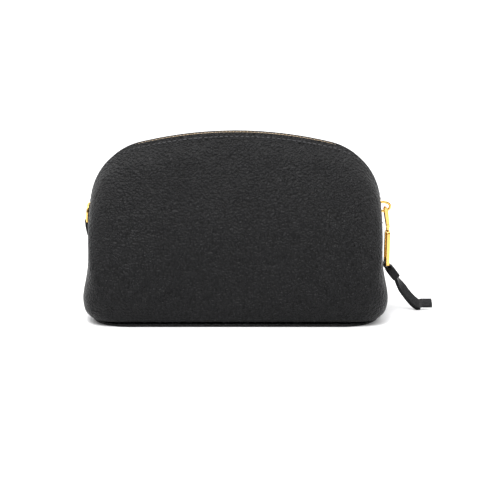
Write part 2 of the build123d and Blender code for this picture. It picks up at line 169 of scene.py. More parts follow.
def dome_outlines(half_width, bottom, top, share, inset):
    """Dome outlines, one per row of the column arrays: crown, shoulder and hem arcs that meet on tangents."""
    crown = CROWN_RADIUS * (half_width / HALF_WIDTH) ** 2 / share
    shoulder = SHOULDER_RADIUS * share
    hem = np.minimum(HEM_RADIUS, 0.35 * (top - bottom)) - inset
    centre_x = half_width - shoulder
    centre_z = top - crown + np.sqrt((crown - shoulder) ** 2 - centre_x**2)
    sweep = np.arctan2(centre_z - top + crown, centre_x)
    side = half_width - inset
    floor = bottom + inset
    hem_x = side - hem
    hem_z = floor + hem
    quarter = math.pi / 2
    counts = STRETCHES
    crown_z = top - crown
    return np.concatenate(
        [
            straight(-hem_x, floor, hem_x, floor, counts[0]),
            arc(hem_x, hem_z, hem, -quarter, 0, counts[1]),
            straight(side, hem_z, side, centre_z, counts[2]),
            arc(centre_x, centre_z, shoulder - inset, 0, sweep, counts[3]),
            arc(0, crown_z, crown - inset, sweep, math.pi - sweep, counts[4]),
            arc(-centre_x, centre_z, shoulder - inset, math.pi - sweep, math.pi, counts[5]),
            straight(-side, centre_z, -side, hem_z, counts[6]),
            arc(-hem_x, hem_z, hem, math.pi, 3 * quarter, counts[7]),
        ],
        axis=1,
    )


def flared(x, z):
    """Sideways positions pushed outwards near the bottom: x times one plus a bell curve of the height."""
    return x * (1 + FLARE * np.exp(-(((z - FLARE_HEIGHT) / FLARE_REACH) ** 2)))


def panel_rows(fall):
    """Rows of the front panel for falls from 1 at the rim to 0 at the belly.

    The depth grows as 1 - fall^1.8, the top drops in proportion to the fall, and the width shrinks on a
    superellipse of the depth, so each row is a smaller dome, further forward.
    """
    fall = np.asarray(fall, float)[:, None]
    depth = 1 - fall**1.8
    wide = BELLY_WIDTH + (1 - BELLY_WIDTH) * (1 - depth**4) ** (1 / 2.4)
    top = HEIGHT * (BELLY_TOP + (1 - BELLY_TOP) * fall)
    bottom = BOTTOM + BELLY_LIFT * HEIGHT * depth**8
    share = (top - bottom) / (HEIGHT - BOTTOM)
    flat = dome_outlines(wide * HALF_WIDTH, bottom, top, share, 0)
    y = -(RIM_Y + EDGE_RADIUS + (BELLY_Y - RIM_Y - EDGE_RADIUS) * depth) * np.ones(flat.shape[:2])
    return np.stack([flared(flat[..., 0], flat[..., 1]), y, flat[..., 1]], axis=-1)


def wave_field(x, z, waves, seed):
    """A smooth random field between about -1 and 1: sine waves with random directions and phases, averaged."""
    draw = np.random.default_rng(seed)
    total = np.zeros_like(x)
    for length, count in waves:
        for _ in range(count):
            turn, phase = draw.uniform(0, 2 * math.pi, 2)
            across = x * math.cos(turn) + z * math.sin(turn)
            stretch = length * draw.uniform(0.8, 1.25)
            total += np.sin(2 * math.pi * across / stretch + phase) / math.sqrt(count)
    return total / len(waves)


def soften(points, seed):
    """Sag and creases in a panel.

    A hollow low in the middle is a bell curve, folds fan out of the lower corners, and a few broad waves run
    across. All of them fade out towards the rim and the base. The crown slumps a little in two places.
    """
    x, y, z = points[..., 0], points[..., 1], points[..., 2]
    out = np.clip((-y - RIM_Y) / (10 * MM), 0, 1)
    low = np.clip((z - BOTTOM) / (14 * MM), 0, 1)
    fade = out * out * (3 - 2 * out) * low
    hollow = 2.2 * MM * np.exp(-((x + 4 * MM) / (62 * MM)) ** 2 - ((z - 40 * MM) / (24 * MM)) ** 2)
    swell = 0.7 * MM * wave_field(x, z, ((120 * MM, 3), (60 * MM, 4)), seed)
    small = 0.22 * MM * wave_field(x, z, ((22 * MM, 5), (13 * MM, 6)), seed + 1)
    folds = np.zeros_like(x)
    for side, start, turn, length in (
        (-1, 78, 52, 46), (-1, 86, 66, 40), (-1, 66, 38, 38),
        (1, 76, 50, 44), (1, 86, 68, 42), (1, 60, 36, 34), (1, 88, 82, 50),
    ):
        angle = math.radians(turn)
        dx = -(x * side - start * MM)
        dz = z - 8 * MM
        along = dx * math.cos(angle) + dz * math.sin(angle)
        across = -dx * math.sin(angle) + dz * math.cos(angle) + along**2 * 2.2
        reach = np.clip(along / (length * MM), 0, 1)
        strength = np.sin(math.pi * reach) ** 0.8 * (reach > 0) * (reach < 1)
        folds += 0.6 * MM * strength * np.exp(-((across / (2.6 * MM)) ** 2))
        folds -= 0.45 * MM * strength * np.exp(-(((across - 5.2 * MM) / (3.4 * MM)) ** 2))
    moved = points.copy()
    moved[..., 1] = y + fade * (hollow + swell + small + folds - FULLNESS)
    peak = np.clip((z - 100 * MM) / (30 * MM), 0, 1) ** 2
    right_slump = 0.9 * np.exp(-((x - 52 * MM) / (20 * MM)) ** 2)
    left_slump = 0.7 * np.exp(-((x + 38 * MM) / (17 * MM)) ** 2)
    moved[..., 2] -= peak * MM * (right_slump + left_slump)
    return moved


def panel(name, side, seed):
    """One leather panel: its edge turned in at the rim, the dome rows, and the belly closed in the middle."""
    rim = panel_rows([1.0])[0]
    full = (np.array([[value]]) for value in (HALF_WIDTH, BOTTOM, HEIGHT, 1.0))
    inner = dome_outlines(*full, EDGE_RADIUS)[0]
    inner_x = flared(inner[:, 0], inner[:, 1])
    inner = np.stack([inner_x, np.full(len(inner), -RIM_Y - EDGE_RADIUS), inner[:, 1]], axis=-1)
    out = (rim - inner) / EDGE_RADIUS
    forward = np.array([0, -1, 0])
    quarter = np.linspace(-math.pi / 2, 0, 6)[:-1, None, None]
    edge = inner[None] + EDGE_RADIUS * (out[None] * np.cos(quarter) + forward * np.sin(quarter))
    lip = inner[None] + np.linspace(LIP, 0, 4, endpoint=False)[:, None, None] * (-out[None])
    lip[..., 1] = -RIM_Y
    fall = 1 - np.linspace(0, 1, 110) ** 1.15
    rows = panel_rows(fall)
    last = rows[-1]
    middle = (last[:, 2].min() + last[:, 2].max()) / 2
    shrink = np.linspace(1, 0, 16)[1:, None, None]
    centre_line = np.stack([last[:, 0] * 0.8, last[:, 1], np.full(len(last), middle)], axis=-1)
    belly = centre_line[None] + (last[None] - centre_line[None]) * shrink
    points = np.concatenate([lip, edge, soften(np.concatenate([rows, belly]), seed)])
    if side > 0:
        points[..., 1] *= -1
    return grid_object(name, points)


def even_places(path, spacing):
    """Points and directions at even distances along a path of points."""
    steps = np.linalg.norm(np.diff(path, axis=0), axis=1)
    along = np.concatenate([[0], np.cumsum(steps)])
    count = int(along[-1] / spacing)
    wanted = (np.arange(count) + 0.5) * along[-1] / count
    places = np.stack([np.interp(wanted, along, path[:, k]) for k in range(3)], axis=-1)
    ahead = np.stack([np.interp(wanted + 0.3 * MM, along, path[:, k]) for k in range(3)], axis=-1)
    behind = np.stack([np.interp(wanted - 0.3 * MM, along, path[:, k]) for k in range(3)], axis=-1)
    direction = ahead - behind
    return places, direction / np.linalg.norm(direction, axis=1)[:, None]


def stitches(name, path, out, spacing, length, radius):
    """A row of stitches: each is a bead drawn out along the thread and sunk a little at its ends."""
    places, along = even_places(path, spacing)
    if out.ndim == 2:
        nearest = ((places[:, None] - path[None]) ** 2).sum(-1).argmin(1)
        out = out[nearest]
    else:
        out = np.tile(out, (len(places), 1))
    side = np.cross(along, out)
    side /= np.linalg.norm(side, axis=1)[:, None]
    up = np.cross(side, along)
    ring = np.linspace(0, 2 * math.pi, 7)[:-1]
    line = np.linspace(-1, 1, 7)
    size = radius * np.sqrt(np.clip(1 - line**4, 0.02, 1))[:, None]
    height = size * np.sin(ring) - 0.35 * radius * line[:, None] ** 2
    grids = places[:, None, None] + along[:, None, None] * (line * length / 2)[None, :, None, None]
    grids = grids + side[:, None, None] * (size * np.cos(ring))[None, :, :, None] * 1.15
    grids = grids + up[:, None, None] * height[None, :, :, None]
    return join_grids(name, grids)


def ribbon(name, path, across, width, thickness, squareness=0.28):
    """A strip: a superellipse of the width and thickness carried along the path and closed at its ends.

    across is the strip's sideways direction at each point; width and thickness may change along it.
    """
    path = np.asarray(path, float)
    count = len(path)
    across = np.broadcast_to(np.asarray(across, float), path.shape)
    along = np.gradient(path, axis=0)
    along /= np.linalg.norm(along, axis=1)[:, None]
    across = across - along * (across * along).sum(1)[:, None]
    across /= np.linalg.norm(across, axis=1)[:, None]
    up = np.cross(along, across)
    width = np.broadcast_to(width, count)
    thickness = np.broadcast_to(thickness, count)
    ring = np.linspace(0, 2 * math.pi, 33)[:-1]
    wide = np.sign(np.cos(ring)) * np.abs(np.cos(ring)) ** squareness
    tall = np.sign(np.sin(ring)) * np.abs(np.sin(ring)) ** 0.75
    rows = path[:, None] + across[:, None] * (wide[None, :, None] * width[:, None, None] / 2)
    rows = rows + up[:, None] * (tall[None, :, None] * thickness[:, None, None] / 2)
    caps = [path[0] + (rows[0] - path[0]) * k for k in (0.0, 0.5, 0.85)]
    ends = [path[-1] + (rows[-1] - path[-1]) * k for k in (0.85, 0.5, 0.0)]
    for k, cap in enumerate(caps):
        cap -= along[0] * thickness[0] * (0.32, 0.28, 0.16)[k]
    for k, end in enumerate(ends):
        end += along[-1] * thickness[-1] * (0.16, 0.28, 0.32)[k]
    return grid_object(name, np.concatenate([caps, rows, ends]))


def hermite(start, start_pull, end, end_pull, count):
    """A smooth curve between two points that leaves along one pull and arrives along the other (a cubic)."""
    t = np.linspace(0, 1, count)[:, None]
    return (
        (2 * t**3 - 3 * t**2 + 1) * start
        + (t**3 - 2 * t**2 + t) * start_pull
        + (-2 * t**3 + 3 * t**2) * end
        + (t**3 - t**2) * end_pull
    )


def tube(name, path, across, wide, thick, closed):
    """A bent bar: a superellipse of the width and thickness carried along a path, as a loop if closed is set.

    across is the bar's sideways direction.
    """
    if closed:
        along = np.roll(path, -1, axis=0) - np.roll(path, 1, axis=0)
    else:
        along = np.gradient(path, axis=0)
    along /= np.linalg.norm(along, axis=1)[:, None]
    across = np.broadcast_to(np.asarray(across, float), path.shape)
    up = np.cross(along, across)
    up /= np.linalg.norm(up, axis=1)[:, None]
    ring = np.linspace(0, 2 * math.pi, 25)[:-1]
    flat = np.sign(np.cos(ring)) * np.abs(np.cos(ring)) ** 0.7
    tall = np.sign(np.sin(ring)) * np.abs(np.sin(ring)) ** 0.7
    rows = path[:, None] + across[:, None] * (flat[None, :, None] * wide / 2)
    rows = rows + up[:, None] * (tall[None, :, None] * thick / 2)
    if closed:
        rows = np.concatenate([rows, rows[:1]])
    else:
        first, last = (np.broadcast_to(path[k], rows[:1].shape) for k in (0, -1))
        rows = np.concatenate([first, rows, last])
    return grid_object(name, rows)


def round_corners(corners, radius, count=10):
    """A closed path in a plane through the corners, each corner replaced by a quarter circle of the radius."""
    corners = np.asarray(corners, float)
    points = []
    for before, here, after in zip(np.roll(corners, 1, axis=0), corners, np.roll(corners, -1, axis=0)):
        toward = (before - here) / np.linalg.norm(before - here)
        away = (after - here) / np.linalg.norm(after - here)
        centre = here + (toward + away) * radius
        turn = np.linspace(0, math.pi / 2, count)[:, None]
        points.append(centre - away * radius * np.cos(turn) - toward * radius * np.sin(turn))
    return np.concatenate(points)


# ---------------------------------------------------------------- materials


def node_group(name, inputs, outputs):
    """An empty shader group with named float or vector sockets."""
    group = bpy.data.node_groups.new(name, "ShaderNodeTree")
    for label, kind, value in inputs:
        socket = group.interface.new_socket(label, in_out="INPUT", socket_type=kind)
        if value is not None:
            socket.default_value = value
    for label, kind in outputs:
        group.interface.new_socket(label, in_out="OUTPUT", socket_type=kind)
    return group, group.nodes.new("NodeGroupInput"), group.nodes.new("NodeGroupOutput")


def math_node(tree, operation, a, b=None, clamp=False):
    """A Math node whose inputs are sockets or numbers."""
    node = tree.nodes.new("ShaderNodeMath")
    node.operation = operation
    node.use_clamp = clamp
    for slot, value in enumerate((a, b)):
        if value is None:
            continue
        if hasattr(value, "is_linked"):
            tree.links.new(value, node.inputs[slot])
        else:
            node.inputs[slot].default_value = value
    return node.outputs[0]


def grain_group():
    """Pebbled leather grain: rounded cells with creases between them, warped and varied in strength."""
    group, given, result = node_group(
        "leather grain",
        (("Vector", "NodeSocketVector", None), ("Cells per metre", "NodeSocketFloat", 520.0)),
        (("Height", "NodeSocketFloat"), ("Crease", "NodeSocketFloat"), ("Patch", "NodeSocketFloat")),
    )
    links = group.links
    warp = group.nodes.new("ShaderNodeTexNoise")
    warp.inputs["Scale"].default_value = 260.0
    warp.inputs["Detail"].default_value = 2.0
    links.new(given.outputs["Vector"], warp.inputs["Vector"])
    push = group.nodes.new("ShaderNodeVectorMath")
    push.operation = "SCALE"
    push.inputs["Scale"].default_value = 0.0016
    links.new(warp.outputs["Color"], push.inputs[0])
    moved = group.nodes.new("ShaderNodeVectorMath")
    moved.operation = "ADD"
    links.new(given.outputs["Vector"], moved.inputs[0])
    links.new(push.outputs[0], moved.inputs[1])
    heights = []
    for factor, weight in ((1.0, 0.7), (1.9, 0.3)):
        cells = group.nodes.new("ShaderNodeTexVoronoi")
        cells.feature = "SMOOTH_F1"
        cells.inputs["Smoothness"].default_value = 0.35
        scale = math_node(group, "MULTIPLY", given.outputs["Cells per metre"], factor)
        links.new(scale, cells.inputs["Scale"])
        links.new(moved.outputs[0], cells.inputs["Vector"])
        hill = math_node(group, "SUBTRACT", 1.0, cells.outputs["Distance"], clamp=True)
        heights.append(math_node(group, "MULTIPLY", hill, weight))
    patch = group.nodes.new("ShaderNodeTexNoise")
    patch.inputs["Scale"].default_value = 38.0
    patch.inputs["Detail"].default_value = 3.0
    links.new(given.outputs["Vector"], patch.inputs["Vector"])
    height = math_node(group, "ADD", heights[0], heights[1])
    strength = math_node(group, "ADD", math_node(group, "MULTIPLY", patch.outputs[0], 0.7), 0.6)
    links.new(math_node(group, "MULTIPLY", height, strength), result.inputs["Height"])
    # The crease mask roughens the grain's valleys and, in leather(), darkens their colour as painted shade.
    crease = math_node(group, "MULTIPLY", math_node(group, "SUBTRACT", 0.75, height), 2.6, clamp=True)
    links.new(crease, result.inputs["Crease"])
    links.new(patch.outputs[0], result.inputs["Patch"])
    return group


def base_material(name, roughness, metallic=0.0):
    """A material with its node tree and shader, and the shader's roughness and metallic values set."""
    material = bpy.data.materials.new(name)
    material.use_nodes = True
    shader = material.node_tree.nodes["Principled BSDF"]
    shader.inputs["Roughness"].default_value = roughness
    shader.inputs["Metallic"].default_value = metallic
    return material, material.node_tree, shader


def object_coordinates(tree):
    """The socket that gives a point's place on its piece."""
    return tree.nodes.new("ShaderNodeTexCoord").outputs["Object"]


def mix_colours(tree, factor, low, high):
    """A colour that runs from low to high as the factor goes from 0 to 1."""
    node = tree.nodes.new("ShaderNodeMix")
    node.data_type = "RGBA"
    tree.links.new(factor, node.inputs["Factor"])
    node.inputs["A"].default_value = (*low, 1)
    node.inputs["B"].default_value = (*high, 1)
    return node.outputs["Result"]


def bump(tree, height, strength, distance, shader):
    """A relief on the shader's normal, from a height that varies from 0 to 1 over the distance in metres."""
    node = tree.nodes.new("ShaderNodeBump")
    node.inputs["Strength"].default_value = strength
    node.inputs["Distance"].default_value = distance
    tree.links.new(height, node.inputs["Height"])
    tree.links.new(node.outputs["Normal"], shader.inputs["Normal"])


def leather(name, group, cells, low, high, depth, roughness):
    """Grained leather: painted shade that darkens the grain's creases, patchy gloss and a bump from the grain.
    """
    material, tree, shader = base_material(name, roughness)
    shader.inputs["Specular IOR Level"].default_value = 0.20
    grain = tree.nodes.new("ShaderNodeGroup")
    grain.node_tree = group
    grain.inputs["Cells per metre"].default_value = cells
    tree.links.new(object_coordinates(tree), grain.inputs["Vector"])
    # Base colour runs from high on the grain's tops to low in its creases: painted shade in the creases.
    tree.links.new(mix_colours(tree, grain.outputs["Crease"], high, low), shader.inputs["Base Color"])
    rough = math_node(tree, "ADD", math_node(tree, "MULTIPLY", grain.outputs["Patch"], 0.18), roughness - 0.09)
    rougher = math_node(tree, "ADD", rough, math_node(tree, "MULTIPLY", grain.outputs["Crease"], 0.12))
    tree.links.new(rougher, shader.inputs["Roughness"])
    bump(tree, grain.outputs["Height"], 1.0, depth, shader)
    return material


def metal(name, colour, worn, roughness):
    """Plated metal: fine drawn noise in its gloss and a slightly uneven tone."""
    material, tree, shader = base_material(name, roughness, 1.0)
    where = object_coordinates(tree)
    tone = tree.nodes.new("ShaderNodeTexNoise")
    tone.inputs["Scale"].default_value = 300.0
    tone.inputs["Detail"].default_value = 4.0
    tree.links.new(where, tone.inputs["Vector"])
    tree.links.new(mix_colours(tree, tone.outputs[0], worn, colour), shader.inputs["Base Color"])
    rough = math_node(tree, "ADD", math_node(tree, "MULTIPLY", tone.outputs[0], 0.12), roughness - 0.06)
    tree.links.new(rough, shader.inputs["Roughness"])
    bump(tree, tone.outputs[0], 0.12, 0.0001, shader)
    return material


def cloth(name, low, high, threads):
    """Plain weave: two crossed sets of threads from sine bands, with a soft sheen."""
    material, tree, shader = base_material(name, 0.85)
    where = object_coordinates(tree)
    bands = []
    for direction in ("X", "Z"):
        wave = tree.nodes.new("ShaderNodeTexWave")
        wave.bands_direction = direction
        wave.inputs["Scale"].default_value = threads
        wave.inputs["Distortion"].default_value = 0.6
        tree.links.new(where, wave.inputs["Vector"])
        bands.append(wave.outputs["Fac"])
    weave = math_node(tree, "MULTIPLY", bands[0], bands[1])
    tree.links.new(mix_colours(tree, weave, low, high), shader.inputs["Base Color"])
    bump(tree, weave, 0.6, 0.0002, shader)
    return material


def thread_material(name, low, high):
    """Twisted thread: fine bands in tone and relief."""
    material, tree, shader = base_material(name, 0.5)
    noise = tree.nodes.new("ShaderNodeTexNoise")
    noise.inputs["Scale"].default_value = 2600.0
    tree.links.new(object_coordinates(tree), noise.inputs["Vector"])
    tree.links.new(mix_colours(tree, noise.outputs[0], low, high), shader.inputs["Base Color"])
    bump(tree, noise.outputs[0], 0.4, 0.0001, shader)
    return material


GRAIN = grain_group()
# The first colour of each leather is painted shade for the grain's creases, the second its colour on the
# grain's tops.
LEATHER = leather(
    "pebbled leather", GRAIN, 640.0, (0.0006, 0.0006, 0.0009), (0.0042, 0.0042, 0.0052), 0.0016, 0.34
)
TRIM = leather("strap leather", GRAIN, 900.0, (0.003, 0.003, 0.0035), (0.012, 0.012, 0.014), 0.00030, 0.34)
THREAD = thread_material("black thread", (0.020, 0.020, 0.022), (0.070, 0.070, 0.075))
TAPE = cloth("zipper tape", (0.004, 0.004, 0.005), (0.020, 0.020, 0.022), 900.0)
LINING = cloth("lining cloth", (0.010, 0.010, 0.011), (0.035, 0.035, 0.036), 500.0)
BOARD = cloth("board fibre", (0.10, 0.10, 0.10), (0.17, 0.17, 0.165), 120.0)
GOLD = metal("gold plating", (0.92, 0.60, 0.19), (0.74, 0.44, 0.11), 0.20)
TEETH = metal("brushed gold teeth", (0.66, 0.42, 0.15), (0.40, 0.25, 0.09), 0.34)

# ---------------------------------------------------------------- CAD nodes that stay

NODE_MATERIALS = {
    "front_lining": LINING, "rear_lining": LINING, "base_lining": LINING, "left_gusset_lining": LINING,
    "right_gusset_lining": LINING, "inner_pocket": LINING, "base_board": BOARD,
    "front_zip_tape": TAPE, "rear_zip_tape": TAPE,
    "front_zip_teeth": TEETH, "rear_zip_teeth": TEETH, "left_zip_stop": TEETH, "right_zip_stops": TEETH,
    "slider_body": GOLD, "slider_bail": GOLD, "pull_link": GOLD, "pull_rivet": GOLD, "pull_frame": GOLD,
    "left_ring": GOLD,
}
for node, material in NODE_MATERIALS.items():
    mesh = frame["nodes"][node].data
    mesh.materials.clear()
    mesh.materials.append(material)

# ---------------------------------------------------------------- panels and their stitching


def rim_path(fall, side, lift):
    """The line on a panel a little inside its rim, from the right hem over the crown to the left hem."""
    first = STRETCHES[0] + STRETCHES[1]
    last = sum(STRETCHES) - STRETCHES[-1]
    row, near = panel_rows([fall, fall - 0.02])[:, first:last]
    along = np.gradient(row, axis=0)
    out = np.cross(near - row, along)
    out /= np.linalg.norm(out, axis=1)[:, None]
    outward = row * np.array([1, 0, 1]) - np.array([0, 0, 40 * MM])
    out *= np.sign((out * outward).sum(1))[:, None]
    row = row + out * lift
    if side > 0:
        row, out = row * np.array([1, -1, 1]), out * np.array([1, -1, 1])
    return row, out


for side, name in ((-1, "front"), (1, "rear")):
    shell = panel(f"{name}_leather", side, 11 if side < 0 else 29)
    finish_piece(shell, "shell", "grained_leather", LEATHER, f"{name}_panel")
    path, out = rim_path(0.972, side, 0.12 * MM)
    seam = stitches(f"{name}_rim_stitches", path, out, 3.6 * MM, 2.7 * MM, 0.30 * MM)
    finish_piece(seam, "shell", "grained_leather", THREAD)

# ---------------------------------------------------------------- gussets and base


def gusset(side, name):
    """The strip under the zipper's end: it follows the flared side and a quarter circle at the hem."""
    z = np.linspace(BOTTOM + HEM_RADIUS, GUSSET_HIGH[2], 40)
    x = np.full_like(z, side * (GUSSET_LOW[0] + GUSSET_HIGH[0]) / 2)
    turn = np.linspace(math.pi / 2, 0, 12)[:-1]
    bend = HEM_RADIUS - (GUSSET_HIGH[0] - GUSSET_LOW[0]) / 2
    low_x = side * (HALF_WIDTH - HEM_RADIUS + bend * np.cos(turn))
    low_z = BOTTOM + HEM_RADIUS - bend * np.sin(turn)
    path_z = np.concatenate([low_z, z])
    path = np.stack([flared(np.concatenate([low_x, x]), path_z), np.zeros(len(path_z)), path_z], axis=-1)
    width = GUSSET_HIGH[1] - GUSSET_LOW[1]
    piece = ribbon(f"{name}_gusset_leather", path, (0, 1, 0), width, GUSSET_HIGH[0] - GUSSET_LOW[0])
    finish_piece(piece, "shell", "grained_leather", LEATHER, f"{name}_gusset")


gusset(-1, "left")
gusset(1, "right")


def base():
    """The base: a rounded rectangle whose edge is a half round, closed to its middle line above and below."""
    half = (BASE_HIGH - BASE_LOW) / 2
    half[0] += BASE_GROW
    half[1] += BASE_GROW / 2
    edge = (BASE_HIGH[2] - BASE_LOW[2]) / 2
    middle = BASE_LOW[2] + edge
    count = 24
    angle = np.concatenate([np.linspace(k, k + 1, count) * math.pi / 2 for k in range(4)])
    sign_x = np.repeat([1, -1, -1, 1], count)
    sign_y = np.repeat([1, 1, -1, -1], count)
    normal = np.stack([np.cos(angle), np.sin(angle)], axis=-1)
    centre = np.stack([sign_x * (half[0] - BASE_CORNER), sign_y * (half[1] - BASE_CORNER)], axis=-1)
    inner = BASE_CORNER - edge

    def face_row(share, z):
        """A row on the flat above or below, as a share of the way from the middle line to the edge."""
        flat = np.stack([centre[:, 0], centre[:, 1] * share], axis=-1) + normal * inner * share
        return np.column_stack([flat, np.full(len(flat), z)])

    rows = [face_row(share, middle - edge) for share in np.linspace(0, 1, 10, endpoint=False)]
    for turn in np.linspace(-math.pi / 2, math.pi / 2, 11):
        flat = centre + normal * (inner + edge * math.cos(turn))
        rows.append(np.column_stack([flat, np.full(len(flat), middle + edge * math.sin(turn))]))
    rows += [face_row(share, middle + edge) for share in np.linspace(1, 0, 10)[1:]]
    piece = grid_object("base_leather", np.array(rows))
    finish_piece(piece, "shell", "grained_leather", LEATHER, "base_panel")


base()

# ---------------------------------------------------------------- tabs


def tab(side, name):
    """A side tab: one strip folded over at its top, its two plies flat against the side, with stitches."""
    low, high = (np.array(corner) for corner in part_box(f"{name}_tab"))
    width = high[1] - low[1]
    ply = TAB_PLY
    inner_x = HALF_WIDTH + 0.3 * MM + ply / 2
    outer_x = inner_x + ply
    bottom = low[2] + 0.6 * MM
    if side < 0:
        centre = np.array([-RING_BAR[0], RING_BAR[2]])
        turn = np.linspace(math.pi, -0.15 * math.pi, 30)
        radius = 1.78 * MM
        loop = np.stack([centre[0] + radius * np.cos(turn), centre[1] + radius * np.sin(turn)], axis=-1)
        rise_x = np.linspace(inner_x, centre[0] - radius, 20)
        rise = np.stack([rise_x, np.linspace(bottom, centre[1] - 1 * MM, 20)], axis=-1)
        fall = np.linspace(0, 1, 30)[1:, None]
        eased = fall * fall * (3 - 2 * fall)
        drop_z = loop[-1][1] + (bottom + 0.6 * MM - loop[-1][1]) * fall
        drop_x = loop[-1][0] + (outer_x - loop[-1][0]) * np.clip(eased * 3.2, 0, 1)
        flat = np.concatenate([rise, loop, np.concatenate([drop_x, drop_z], axis=1)])
    else:
        top = high[2] - ply
        turn = np.linspace(math.pi, 0, 14)
        loop_x = (inner_x + outer_x) / 2 + ply / 2 * np.cos(turn)
        loop = np.stack([loop_x, top + ply / 2 * np.sin(turn)], axis=-1)
        rise = np.stack([np.full(20, inner_x), np.linspace(bottom, top, 20)], axis=-1)[:-1]
        flat = np.concatenate([rise, loop, rise[::-1]])
    path = np.stack([side * flat[:, 0], np.zeros(len(flat)), flat[:, 1]], axis=-1)
    piece = ribbon(f"{name}_tab_leather", path, (0, 1, 0), width, ply * 0.98)
    finish_piece(piece, "shell", "strap_leather", TRIM, f"{name}_tab")
    x = side * (outer_x + ply / 2 - 0.02 * MM)
    inset = 1.1 * MM
    for face, y in (("front", -width / 2 + inset), ("rear", width / 2 - inset)):
        line = np.array([[x, y, bottom + 2 * MM], [x, y, high[2] - 9 * MM]])
        out = np.array([side, 0, 0])
        row = stitches(f"{name}_tab_stitches_{face}", line, out, 2.6 * MM, 1.9 * MM, 0.22 * MM)
        finish_piece(row, "shell", "strap_leather", THREAD)


tab(-1, "left")
tab(1, "right")

# ---------------------------------------------------------------- pull strap and keeper


def strap():
    """The pull strap: one strip round the crossbar, its plies side by side, then apart as they reach the floor.

    The middle line is a cubic from the crossbar to the floor. Each ply keeps half a thickness from it, and near
    the crossbar the distance grows to the loop's radius. Past the keeper the strip turns about its length, and
    where its lower edge would sink into the floor it is raised by as much.
    """
    low, high = (np.array(corner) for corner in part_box("pull_strap"))
    width = high[1] - low[1]
    ply = STRAP_PLY
    loop = 1.9 * MM
    start = np.array([CROSSBAR[0], CROSSBAR[2]])
    start_pull = np.array([math.cos(STRAP_SLOPE), -math.sin(STRAP_SLOPE)]) * 40 * MM
    floor = np.array([high[0] - 8 * MM, 2.2 * MM])
    floor_pull = np.array([1, -0.16]) * 22 * MM
    tip = np.array([high[0] - 0.5 * MM, 1.7 * MM])
    tail = np.linspace(floor, tip, 14)[1:]
    line = np.concatenate([hermite(start, start_pull, floor, floor_pull, 60), tail])
    along = np.gradient(line, axis=0)
    along /= np.linalg.norm(along, axis=1)[:, None]
    normal = np.stack([-along[:, 1], along[:, 0]], axis=-1)
    travel = np.concatenate([[0], np.cumsum(np.linalg.norm(np.diff(line, axis=0), axis=1))])
    gap = ply * 0.53 + (loop - ply * 0.53) * np.exp(-((travel / (2.6 * MM)) ** 2))
    part = 1.1 * MM * np.clip((travel - 24 * MM) / (16 * MM), 0, 1) ** 1.5
    twist = math.radians(50) * np.clip((travel - 10 * MM) / (11 * MM), 0, 1)
    edge = width / 2 * np.sin(twist) * normal[:, 1] + 0.6 * ply
    rise = np.maximum(0, edge - line[:, 1])
    upper = line + normal * (gap * np.cos(twist) + part)[:, None]
    lower = line - normal * (gap * np.cos(twist))[:, None]
    shift = gap * np.sin(twist)
    short = len(line) - len(tail) - 2
    turn_start = math.atan2(normal[0][1], normal[0][0])
    turn = turn_start + math.pi - np.linspace(0, math.pi, 18)[1:-1]
    bend = start + loop * np.stack([np.cos(turn), np.sin(turn)], axis=-1)
    flat = np.concatenate([lower[:short][::-1], bend, upper])
    rises = np.concatenate([rise[:short][::-1], np.zeros(len(bend)), rise])
    twists = np.concatenate([twist[:short][::-1], np.zeros(len(bend)), twist])
    shifts = np.concatenate([shift[:short][::-1], np.zeros(len(bend)), -shift])
    normals = np.concatenate([normal[:short][::-1], np.zeros((len(bend), 2)), normal])
    path = np.stack([flat[:, 0], shifts, flat[:, 1] + rises], axis=-1)
    across_x, across_z = (normals * np.sin(twists)[:, None]).T
    across = np.stack([across_x, np.cos(twists), across_z], axis=-1)
    piece = ribbon("strap_leather", path, across, width, ply)
    finish_piece(piece, "strap", "strap_leather", TRIM, "pull_strap")


def keeper():
    """The keeper: a band round both plies, a rounded rectangle carried along the strap, open at both ends.

    Each step of its section is a travel along the strap and a growth of the rectangle, in millimetres.
    """
    along = np.array([math.cos(STRAP_SLOPE), 0, -math.sin(STRAP_SLOPE)])
    up = np.array([math.sin(STRAP_SLOPE), 0, math.cos(STRAP_SLOPE)])
    start = CROSSBAR + along * 2.9 * MM
    section = (
        (0.3, -0.45), (0, -0.2), (0, 0.15), (0.25, 0.42), (1.2, 0.5), (4.5, 0.56),
        (7.8, 0.5), (8.75, 0.42), (9, 0.15), (9, -0.2), (8.7, -0.45), (0.3, -0.45),
    )
    ring = np.linspace(0, 2 * math.pi, 65)[:-1]
    wide = np.sign(np.cos(ring)) * np.abs(np.cos(ring)) ** 0.35
    tall = np.sign(np.sin(ring)) * np.abs(np.sin(ring)) ** 0.35
    rows = []
    for travel, grow in section:
        half_y = (4.3 + grow) * MM
        half_t = (2.6 + grow) * MM
        centre = start + along * travel * MM
        rows.append(centre + np.outer(wide * half_y, [0, 1, 0]) + np.outer(tall * half_t, up))
    piece = grid_object("keeper_leather", np.array(rows))
    finish_piece(piece, "strap", "strap_leather", TRIM, "strap_keeper")


strap()
keeper()

# ---------------------------------------------------------------- pull hardware


def bail():
    """The bail: a wire arch on the slider, half a superellipse that bows away from the bag."""
    low, high = (np.array(corner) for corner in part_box("slider_bail"))
    wire = BAIL_WIRE
    reach = high[0] - low[0] + 0.6 * MM
    half = (high[2] - low[2] - wire) / 2
    middle = (low[2] + high[2]) / 2
    turn = np.linspace(-math.pi / 2, math.pi / 2, 40)
    x = low[0] + reach * np.cos(turn) ** 0.8
    z = middle + half * np.sign(np.sin(turn)) * np.abs(np.sin(turn)) ** 0.8
    path = np.stack([x, np.zeros(40), z], axis=-1)
    piece = tube("bail_arch", path, (0, 1, 0), wire + 0.2 * MM, wire, False)
    finish_piece(piece, "slider", "gold_metal", GOLD, "slider_bail")


